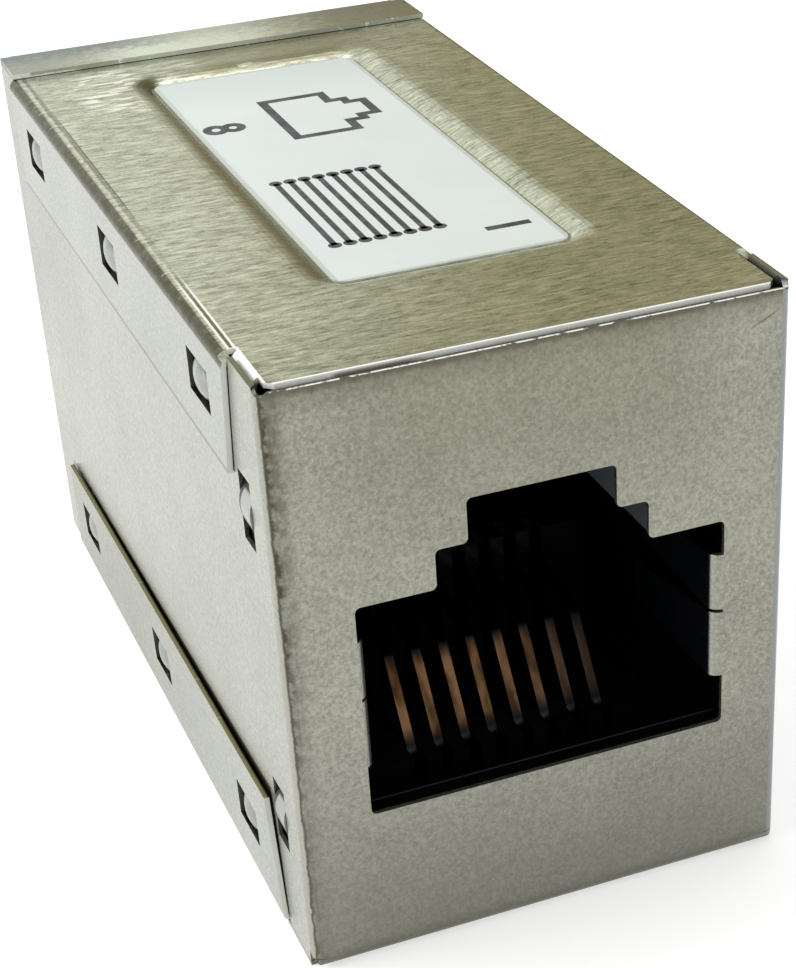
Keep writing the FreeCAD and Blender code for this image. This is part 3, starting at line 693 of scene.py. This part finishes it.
def cover_sheet(effects):
    """Plated sheet of the covers: streaked olive on the level face, pale flanges and very pale ends, their
    tones differing as painted light and shade, with painted shade on the folds.
    """
    sheet = Sheet("plated_cover_sheet", effects, streaks=2.2, speckle=1.6)
    colour = sheet.faces(side=((0.275, 0.290, 0.258), (0.403, 0.424, 0.380)),
                         ends=((0.80, 0.81, 0.74), (0.94, 0.95, 0.88)),
                         level=((0.20, 0.21, 0.13), (0.78, 0.81, 0.67)))
    # painted shade on the lower rear part of the flanges
    low_rear_shade = sheet.both(sheet.side, sheet.over(sheet.z, 11, 10), sheet.over(sheet.y, -14, 6))
    colour = sheet.tint(colour, low_rear_shade, "painted shade on low rear flange")
    for detail in (cover_folds, tongue_edges, flange_edges, slot_ears, cover_wear_and_shade, dish_shading):
        colour = detail(sheet, colour)
    return sheet.close(colour, relief=0.14)


# ---- the other finishes ----
def label_film():
    """White film with a thin clear rim round it, greyer towards the rear."""
    material, tree, shader = finish("label_film")
    clouds = noise(tree, 300, detail=3.0)
    colour = blend_colour(tree, clouds, (0.70, 0.77, 0.76), (0.80, 0.86, 0.84))
    places = axis_parts(tree, "Object")
    middle, half = (LABEL_LOW + LABEL_HIGH) / 2, (LABEL_HIGH - LABEL_LOW) / 2
    past_edges = [maths(tree, "SUBTRACT", size_of(tree, maths(tree, "SUBTRACT", place, centre)), reach)
                  for place, centre, reach in zip(places, middle.xy, half.xy)]
    rim = span(tree, either(tree, *past_edges), -0.22 * MM, -0.12 * MM)
    rear = span(tree, places[1], 7 * MM, 12 * MM, to_high=0.6)
    colour = blend_colour(tree, rear, colour, (0.60, 0.68, 0.67))
    colour = blend_colour(tree, times(tree, rim, 0.75), colour, (0.52, 0.56, 0.50))
    join(tree, colour, shader.inputs["Base Color"])
    shader.inputs["Roughness"].default_value = 0.32
    return material


def printed_ink():
    """Blue-black ink that lies thin in places."""
    material, tree, shader = finish("printed_ink")
    thin = span(tree, noise(tree, 2200, detail=3.0, rough=0.6), 0.42, 0.66)
    colour = blend_colour(tree, thin, (0.022, 0.026, 0.034), (0.075, 0.085, 0.10))
    join(tree, colour, shader.inputs["Base Color"])
    shader.inputs["Roughness"].default_value = 0.42
    return material


def moulded_black(name, roughness):
    """Black moulding, with painted light in grey on the side walls of the latch steps and a painted
    highlight along the inner edge of its sill.
    """
    material, tree, shader = finish(name)
    clouds = noise(tree, 900)
    colour = blend_colour(tree, clouds, (0.0012, 0.0015, 0.0026), (0.003, 0.0035, 0.005))
    x, y, z = axis_parts(tree, "Object")
    nx, _, nz = axis_parts(tree, "Normal")
    # painted light on the side walls of the latch steps
    lit_step_walls = times(tree, span(tree, nx, -0.8, -0.95), band(tree, x, 2 * MM, 6.6 * MM, 0.05 * MM),
                       span(tree, z, 13.2 * MM, 13.4 * MM))
    colour = blend_colour(tree, lit_step_walls, colour, (0.10, 0.12, 0.135))
    # painted highlight along the inner edge of the sill
    sill = times(tree, span(tree, nz, 0.8, 0.95),
                 band(tree, size_of(tree, y), 17.02 * MM, 17.10 * MM, 0.03 * MM),
                 band(tree, z, 5 * MM, 7 * MM, 0.1 * MM))
    colour = blend_colour(tree, times(tree, sill, 0.8), colour, (0.06, 0.068, 0.078))
    join(tree, colour, shader.inputs["Base Color"])
    uneven = 0.1
    rough = span(tree, clouds, 0.3, 0.7, roughness, roughness + uneven, smooth=False)
    join(tree, rough, shader.inputs["Roughness"])
    shader.inputs["Specular IOR Level"].default_value = 0.25
    return material


def board_laminate():
    """Green laminate of the circuit board."""
    material, tree, shader = finish("board_laminate")
    colour = blend_colour(tree, noise(tree, 1500), (0.02, 0.15, 0.06), (0.04, 0.24, 0.10))
    join(tree, colour, shader.inputs["Base Color"])
    shader.inputs["Roughness"].default_value = 0.4
    return material


def contact_wire():
    """Gilt where the wire lies free in the port, with painted shade making it duller to the right and dark
    elsewhere, and painted greyish highlights on the tips.
    """
    material, tree, shader = finish("contact_wire")
    clouds = noise(tree, (2500, 900, 900))
    x, _, z = axis_parts(tree, "Object")
    height = maths(tree, "MINIMUM", z, maths(tree, "SUBTRACT", FRAME_HIGH.z, z))
    uneven = span(tree, clouds, 0.3, 0.7)
    gilt = blend_colour(tree, uneven, (0.045, 0.022, 0.009), (0.165, 0.092, 0.044))
    # painted shade: the gilt dims to the right
    right = span(tree, x, -1 * MM, 4 * MM, to_high=0.85)
    gilt = blend_colour(tree, right, gilt, (0.022, 0.017, 0.014))
    # painted shade: dark everywhere but the free stretch
    free = band(tree, height, 5.7 * MM, 7.8 * MM, 0.35 * MM)
    colour = blend_colour(tree, free, (0.006, 0.006, 0.007), gilt)
    # painted highlights on the tips
    tip_highlight = times(tree, band(tree, height, 5.05 * MM, 5.35 * MM, 0.12 * MM), clouds)
    colour = blend_colour(tree, tip_highlight, colour, (0.045, 0.052, 0.06))
    join(tree, colour, shader.inputs["Base Color"])
    shader.inputs["Metallic"].default_value = 1.0
    shader.inputs["Roughness"].default_value = 0.3
    return material


def dress():
    """Each node gets the finish of the first word that its name holds, and the covers theirs."""
    effects = {"grain": rolled_grain(), "scratches": scratches(), "directions": directions()}
    frame_finish, cover_finish = frame_sheet(effects), cover_sheet(effects)
    housing, insert = moulded_black("black_housing", 0.16), moulded_black("black_insert", 0.35)
    finishes = (("contact_carrier", insert), ("housing", housing), ("label", label_film()),
                ("circuit_board", board_laminate()), ("contact", contact_wire()),
                ("shell_frame", frame_finish))
    for name, node in nodes.items():
        used = next((paint for word, paint in finishes if word in name), cover_finish)
        node.data.materials.clear()
        node.data.materials.append(used)


# ---- print on the label: a plain wiring diagram ----
def linked(piece):
    bpy.context.scene.collection.objects.link(piece)
    return piece


def set_input(modifier, tree, title, value):
    """A modifier's input is set by its socket's identifier."""
    for item in tree.interface.items_tree:
        if item.item_type == "SOCKET" and item.in_out == "INPUT" and item.name == title:
            modifier[item.identifier] = value


def packed(tree, x, y, z):
    """A vector of three sizes, each a number or an output."""
    node = put(tree, "ShaderNodeCombineXYZ")
    for socket, value in zip(node.inputs, (x, y, z)):
        feed(tree, socket, value)
    return node.outputs[0]


def one_wire(tree, sizes):
    """A straight printed line along Y with a round pad on each end."""
    line = put(tree, "GeometryNodeMeshCube")
    join(tree, packed(tree, sizes["Line Width"], sizes["Length"], sizes["Thickness"]), line.inputs["Size"])
    pad = put(tree, "GeometryNodeMeshCylinder")
    pad.inputs["Vertices"].default_value = 24
    join(tree, sizes["Pad Radius"], pad.inputs["Radius"])
    join(tree, sizes["Thickness"], pad.inputs["Depth"])
    shapes = put(tree, "GeometryNodeJoinGeometry")
    join(tree, line.outputs["Mesh"], shapes.inputs[0])
    for half in (-0.5, 0.5):
        moved = put(tree, "GeometryNodeTransform")
        join(tree, pad.outputs["Mesh"], moved.inputs["Geometry"])
        join(tree, packed(tree, 0, times(tree, sizes["Length"], half), 0), moved.inputs["Translation"])
        join(tree, moved.outputs["Geometry"], shapes.inputs[0])
    return shapes.outputs[0]


def wire_lines_tree(ink):
    """Straight printed lines side by side, with a round pad on each end."""
    tree = bpy.data.node_groups.new("wire_lines", "GeometryNodeTree")
    inputs = (("Lines", "NodeSocketInt", 8), ("Pitch", "NodeSocketFloat", 0.8 * MM),
              ("Length", "NodeSocketFloat", 8 * MM), ("Line Width", "NodeSocketFloat", 0.22 * MM),
              ("Pad Radius", "NodeSocketFloat", 0.24 * MM), ("Thickness", "NodeSocketFloat", PRINT_DEPTH))
    for title, kind, value in inputs:
        tree.interface.new_socket(name=title, in_out="INPUT", socket_type=kind).default_value = value
    tree.interface.new_socket(name="Geometry", in_out="OUTPUT", socket_type="NodeSocketGeometry")
    sizes = put(tree, "NodeGroupInput").outputs
    end = put(tree, "NodeGroupOutput")
    wire = one_wire(tree, sizes)
    row = put(tree, "GeometryNodeMeshLine")
    join(tree, sizes["Lines"], row.inputs["Count"])
    join(tree, packed(tree, sizes["Pitch"], 0, 0), row.inputs["Offset"])
    gaps = maths(tree, "SUBTRACT", sizes["Lines"], 1.0)
    first = times(tree, gaps, sizes["Pitch"], -0.5)
    sunk = times(tree, sizes["Thickness"], -0.5)
    join(tree, packed(tree, first, 0, sunk), row.inputs["Start Location"])
    copies = put(tree, "GeometryNodeInstanceOnPoints")
    join(tree, row.outputs["Mesh"], copies.inputs["Points"])
    join(tree, wire, copies.inputs["Instance"])
    real = put(tree, "GeometryNodeRealizeInstances")
    join(tree, copies.outputs["Instances"], real.inputs["Geometry"])
    painted = put(tree, "GeometryNodeSetMaterial")
    painted.inputs["Material"].default_value = ink
    join(tree, real.outputs["Geometry"], painted.inputs["Geometry"])
    join(tree, painted.outputs["Geometry"], end.inputs[0])
    return tree


def baked(name, host, place):
    """Plain mesh object of what a host shows, moved to its place in its mesh."""
    graph = bpy.context.evaluated_depsgraph_get()
    mesh = bpy.data.meshes.new_from_object(host.evaluated_get(graph))
    mesh.transform(place)
    mesh.name = name
    bpy.data.objects.remove(host)
    return linked(bpy.data.objects.new(name, mesh))


def printed_lines(ink, place, lines, pitch, length):
    tree = wire_lines_tree(ink)
    host = linked(bpy.data.objects.new("printed_lines_host", bpy.data.meshes.new("printed_lines_host")))
    modifier = host.modifiers.new("wire_lines", "NODES")
    modifier.node_group = tree
    for title, value in (("Lines", lines), ("Pitch", pitch), ("Length", length)):
        set_input(modifier, tree, title, value)
    return baked("printed_lines", host, place)


def printed_digit(ink, place, digit, size):
    curve = bpy.data.curves.new("printed_digit", "FONT")
    curve.body = digit
    curve.size = size
    curve.align_x, curve.align_y = "CENTER", "CENTER"
    curve.extrude = PRINT_DEPTH / 2
    curve.offset = 0.03 * size
    curve.materials.append(ink)
    host = linked(bpy.data.objects.new("printed_digit_host", curve))
    return baked("printed_digit_" + digit, host, place @ Matrix.Translation((0, 0, -PRINT_DEPTH / 2)))


def port_corners(half_width):
    """Corners of a stepped port: the right ones in shares of its half width, then mirrored."""
    steps = ((1.0, 0.0), (1.0, 1.05), (0.56, 1.05), (0.56, 1.32), (0.36, 1.32), (0.36, 1.6))
    right = [Vector((x * half_width, y * half_width)) for x, y in steps]
    return right + [Vector((-point.x, point.y)) for point in reversed(right)]


def port_outline(ink, place, half_width, stroke):
    """Closed outline of a stepped port, drawn with an even stroke and mitred corners."""
    path = port_corners(half_width)
    count = len(path)
    build = bmesh.new()
    rings = []
    for side, level in ((-1, 0), (1, 0), (1, -PRINT_DEPTH), (-1, -PRINT_DEPTH)):
        ring = []
        for n, point in enumerate(path):
            before = (point - path[n - 1]).normalized()
            after = (path[(n + 1) % count] - point).normalized()
            mitre = Vector((-before.y - after.y, before.x + after.x)) * side * stroke / 2
            ring.append(build.verts.new((point.x + mitre.x, point.y + mitre.y, level)))
        rings.append(ring)
    for ring, other in zip(rings, rings[1:] + rings[:1]):
        for n in range(count):
            build.faces.new((ring[n], ring[(n + 1) % count], other[(n + 1) % count], other[n]))
    bmesh.ops.recalc_face_normals(build, faces=build.faces)
    mesh = bpy.data.meshes.new("printed_port")
    build.to_mesh(mesh)
    build.free()
    mesh.materials.append(ink)
    mesh.transform(place)
    return linked(bpy.data.objects.new("printed_port", mesh))


def label_print():
    """A port outline, eight wires and the numbers of the first and the last, read from the left."""
    ink = printed_ink()
    top = LABEL_HIGH.z + PRINT_RISE
    sideways = Matrix.Rotation(-math.pi / 2, 4, "Z")

    def at(x, y):
        """A place on the label's face, in millimetres."""
        return Matrix.Translation((x * MM, y * MM, top))

    digit_size = 2.2 * MM
    pieces = [printed_lines(ink, at(-1.0, -4.4), lines=8, pitch=0.54 * MM, length=6.6 * MM),
              port_outline(ink, at(-0.6, 5.6) @ sideways, half_width=2.3 * MM, stroke=0.36 * MM),
              printed_digit(ink, at(2.9, -8.7) @ sideways, "1", digit_size),
              printed_digit(ink, at(-2.9, 5.6) @ sideways, "8", digit_size)]
    for piece in pieces:
        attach(piece, "root")


# ---- stage ----
def flat_stage(name, corners, material):
    mesh = bpy.data.meshes.new(name)
    mesh.from_pydata(corners, [], [(0, 1, 2, 3)])
    mesh.materials.append(material)
    linked(bpy.data.objects.new(name, mesh))


def background_rays(tree):
    """One for rays that look at the background: camera, glossy and transmitted ones."""
    light = put(tree, "ShaderNodeLightPath")
    rays = ("Is Camera Ray", "Is Glossy Ray", "Is Transmission Ray")
    return either(tree, *[light.outputs[ray] for ray in rays])


def floor_paint():
    """Matt floor that keeps the part's shadow and glows a little for the rays that see the background."""
    seen_glow = 0.47
    material = bpy.data.materials.new("pale_floor")
    tree = emptied_tree(material)
    matt = put(tree, "ShaderNodeBsdfDiffuse")
    matt.inputs["Color"].default_value = (0.8, 0.8, 0.8, 1)
    glow = put(tree, "ShaderNodeEmission")
    glow.inputs["Color"].default_value = (1, 1, 1, 1)
    join(tree, times(tree, background_rays(tree), seen_glow), glow.inputs["Strength"])
    both = put(tree, "ShaderNodeAddShader")
    join(tree, matt.outputs[0], both.inputs[0])
    join(tree, glow.outputs[0], both.inputs[1])
    out = put(tree, "ShaderNodeOutputMaterial")
    join(tree, both.outputs[0], out.inputs["Surface"])
    return material


def card_paint():
    """Card behind the part that its level top mirrors, warm to the right and brighter to the left."""
    material = bpy.data.materials.new("warm_card")
    tree = emptied_tree(material)
    left = span(tree, axis_parts(tree, "Object")[0], 0.095, 0.02)
    glow = put(tree, "ShaderNodeEmission")
    join(tree, blend_colour(tree, left, (0.36, 0.31, 0.17), (0.98, 0.99, 0.92)), glow.inputs["Color"])
    glow.inputs["Strength"].default_value = 1.0
    out = put(tree, "ShaderNodeOutputMaterial")
    join(tree, glow.outputs[0], out.inputs["Surface"])
    return material


def soft_world():
    """White where it is seen or mirrored, and a plainer fill light on the part."""
    fill = 0.55
    world = bpy.data.worlds.new("soft_studio")
    bpy.context.scene.world = world
    tree = emptied_tree(world)
    backdrop = put(tree, "ShaderNodeBackground")
    backdrop.inputs["Color"].default_value = (1, 1, 1, 1)
    strength = maths(tree, "MULTIPLY_ADD", background_rays(tree), 1 - fill, fill)
    join(tree, strength, backdrop.inputs["Strength"])
    out = put(tree, "ShaderNodeOutputWorld")
    join(tree, backdrop.outputs[0], out.inputs["Surface"])


def soft_box(name, place, size, power):
    """Rectangular lamp turned towards the foot of the part."""
    light = bpy.data.lights.new(name, "AREA")
    light.shape = "RECTANGLE"
    light.size, light.size_y = size
    light.energy = power
    lamp = linked(bpy.data.objects.new(name, light))
    target = Vector((0, 0, 0.01))
    lamp.location = place
    lamp.rotation_euler = (target - Vector(place)).to_track_quat("-Z", "Y").to_euler()


def camera():
    """Camera at the viewing angle: turned to the right of +Y, looking down, with a slight roll."""
    place = (-0.0238, -0.07552, 0.04936)
    turn, down, roll = math.radians(21.98), math.radians(32.56), math.radians(-2.12)
    ahead = Vector((math.sin(turn) * math.cos(down), math.cos(turn) * math.cos(down), -math.sin(down)))
    level = ahead.cross(Vector((0, 0, 1))).normalized()
    upright = level.cross(ahead)
    right = level * math.cos(roll) + upright * math.sin(roll)
    up = upright * math.cos(roll) - level * math.sin(roll)
    lens = bpy.data.cameras.new("camera")
    lens.sensor_fit = "AUTO"
    lens.sensor_width = 36
    lens.lens = 82.63
    lens.shift_x, lens.shift_y = -0.1362, 0.1989
    lens.clip_start, lens.clip_end = 0.001, 10
    eye = linked(bpy.data.objects.new("camera", lens))
    axes = Matrix((right, up, -ahead)).transposed().to_4x4()
    eye.matrix_world = Matrix.Translation(place) @ axes
    bpy.context.scene.camera = eye


def studio():
    floor = 2.0
    corners = [(-floor, -floor, 0), (floor, -floor, 0), (floor, floor, 0), (-floor, floor, 0)]
    flat_stage("floor", corners, floor_paint())
    left, right, foot, head, height = -0.25, 0.30, 0.22, 0.17, 0.27
    corners = [(left, foot, 0), (right, foot, 0), (right, head, height), (left, head, height)]
    flat_stage("warm_card", corners, card_paint())
    soft_world()
    soft_box("left_softbox", (-0.35, 0.08, 0.17), size=(0.3, 0.2), power=1.0)
    soft_box("top_softbox", (0.02, 0.10, 0.42), size=(0.4, 0.3), power=0.5)
    camera()
    bpy.context.scene.view_settings.view_transform = "Standard"


dress()
label_print()
studio()
